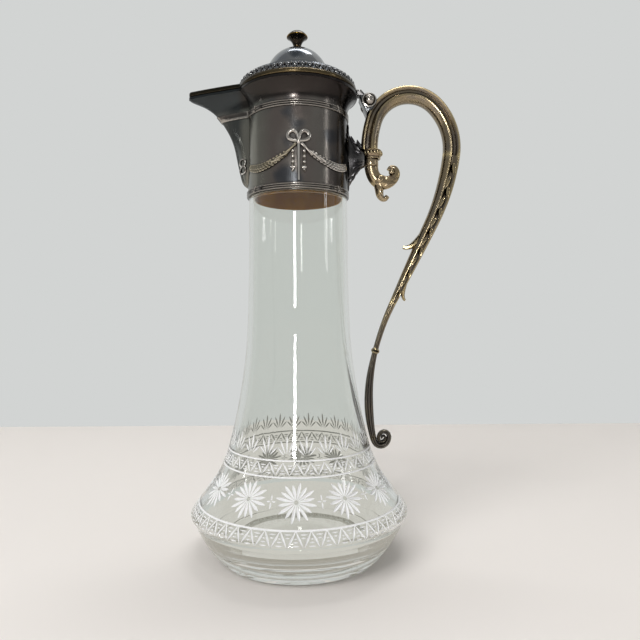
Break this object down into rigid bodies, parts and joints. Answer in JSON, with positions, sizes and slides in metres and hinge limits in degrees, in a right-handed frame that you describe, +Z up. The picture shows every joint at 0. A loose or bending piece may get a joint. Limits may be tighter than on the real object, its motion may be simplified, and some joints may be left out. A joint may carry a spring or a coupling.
{
  "type": "claret jug",
  "caption": "Claret jug: cut glass bottle on a flat foot, plated mount with a pouring spout, hinged domed lid with a finial, and a tall scroll handle.",
  "frame": {"origin": "centre of the foot's flat underside", "axes": "+Z up along the bottle's axis, +X from the bottle to the handle, so the spout points along -X, and +Y across"},
  "size_m": [0.1565, 0.1228, 0.3002],
  "materials": {
    "glass": "clear cut glass, polished",
    "plaster": "matte setting plaster",
    "gilt": "gilt, dulled",
    "nut_brass": "plain turned brass",
    "handle_plate": "silver plate worn to warm metal, dark in the recesses",
    "lid_plate": "tarnished silver plate, polished on the dome",
    "mount_plate": "dark tarnished silver plate"
  },
  "bodies": {
    "jug": {"bow_back": "mount_plate", "bow_front": "mount_plate", "bracket_spur": "mount_plate", "collar_shell": "mount_plate", "glass_body": "glass", "handle_knop": "handle_plate", "handle_leaf_plate": "mount_plate", "handle_leaf_sheath": "handle_plate", "handle_loop": "handle_plate", "handle_swag_back": "mount_plate", "handle_swag_front": "mount_plate", "handle_tail": "handle_plate", "handle_terminal_scroll": "handle_plate", "hinge_ball_back": "mount_plate", "hinge_ball_front": "mount_plate", "hinge_pin": "mount_plate", "hinge_saddle": "mount_plate", "husk_drop_back": "mount_plate", "husk_drop_front": "mount_plate", "knop_disc": "handle_plate", "lower_band_ties": "mount_plate", "lower_reeded_band": "mount_plate", "mouth_rim": "mount_plate", "neck_cement": "plaster", "neck_liner": "gilt", "spout": "mount_plate", "spout_bows": "mount_plate", "spout_reeded_band": "mount_plate", "spout_swag_back": "mount_plate", "spout_swag_front": "mount_plate", "tail_tie": "handle_plate", "tail_volute": "handle_plate", "upper_band_ties": "mount_plate", "upper_reeded_band": "mount_plate"},
    "lid": {"finial_cap": "lid_plate", "finial_nut": "nut_brass", "finial_stem": "lid_plate", "finial_washer": "nut_brass", "lid_bead_band": "lid_plate", "lid_bezel": "lid_plate", "lid_cushion": "lid_plate", "lid_dome": "lid_plate", "lid_hinge_lug": "lid_plate", "lid_plate": "lid_plate"}
  },
  "joints": [
    {"name": "lid_hinge", "type": "hinge", "parent": "jug", "child": "lid", "pos_m": [0.041, 0, 0.258], "axis": [0, 1, 0], "range_deg": [0, 85]}
  ]
}
